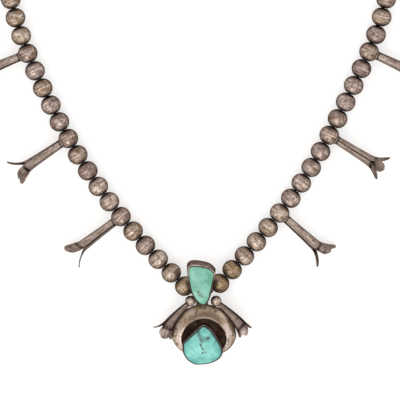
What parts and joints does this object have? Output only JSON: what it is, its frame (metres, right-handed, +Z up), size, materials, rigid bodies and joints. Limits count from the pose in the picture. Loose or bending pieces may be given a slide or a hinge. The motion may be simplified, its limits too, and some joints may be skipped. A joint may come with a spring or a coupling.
{
  "type": "squash blossom necklace",
  "caption": "Necklace of round silver beads with flared blossom beads and a crescent drop set with two turquoise stones, closed into one loop.",
  "frame": {"origin": "middle of the lying necklace's outline, on the surface that it lies on", "axes": "+Z up from the surface, +Y from the drop towards the clasp at the back of the neck, +X to the right as the picture shows it"},
  "size_m": [0.2719, 0.2944, 0.0197],
  "materials": {
    "aged_silver": "aged, tarnished silver, soft polish on the high places",
    "thread": "dark waxed stringing thread",
    "green_turquoise": null,
    "blue_turquoise": null
  },
  "bodies": {
    "root": {"beads_left": "aged_silver", "beads_right": "aged_silver", "thread": "thread", "clasp": "aged_silver", "pendant": "aged_silver", "upper_stone": "green_turquoise", "lower_stone": "blue_turquoise", "blossom_left_1": "aged_silver", "blossom_left_2": "aged_silver", "blossom_left_3": "aged_silver", "blossom_left_4": "aged_silver", "blossom_left_5": "aged_silver", "blossom_right_1": "aged_silver", "blossom_right_2": "aged_silver", "blossom_right_3": "aged_silver", "blossom_right_4": "aged_silver", "blossom_right_5": "aged_silver"}
  },
  "joints": []
}
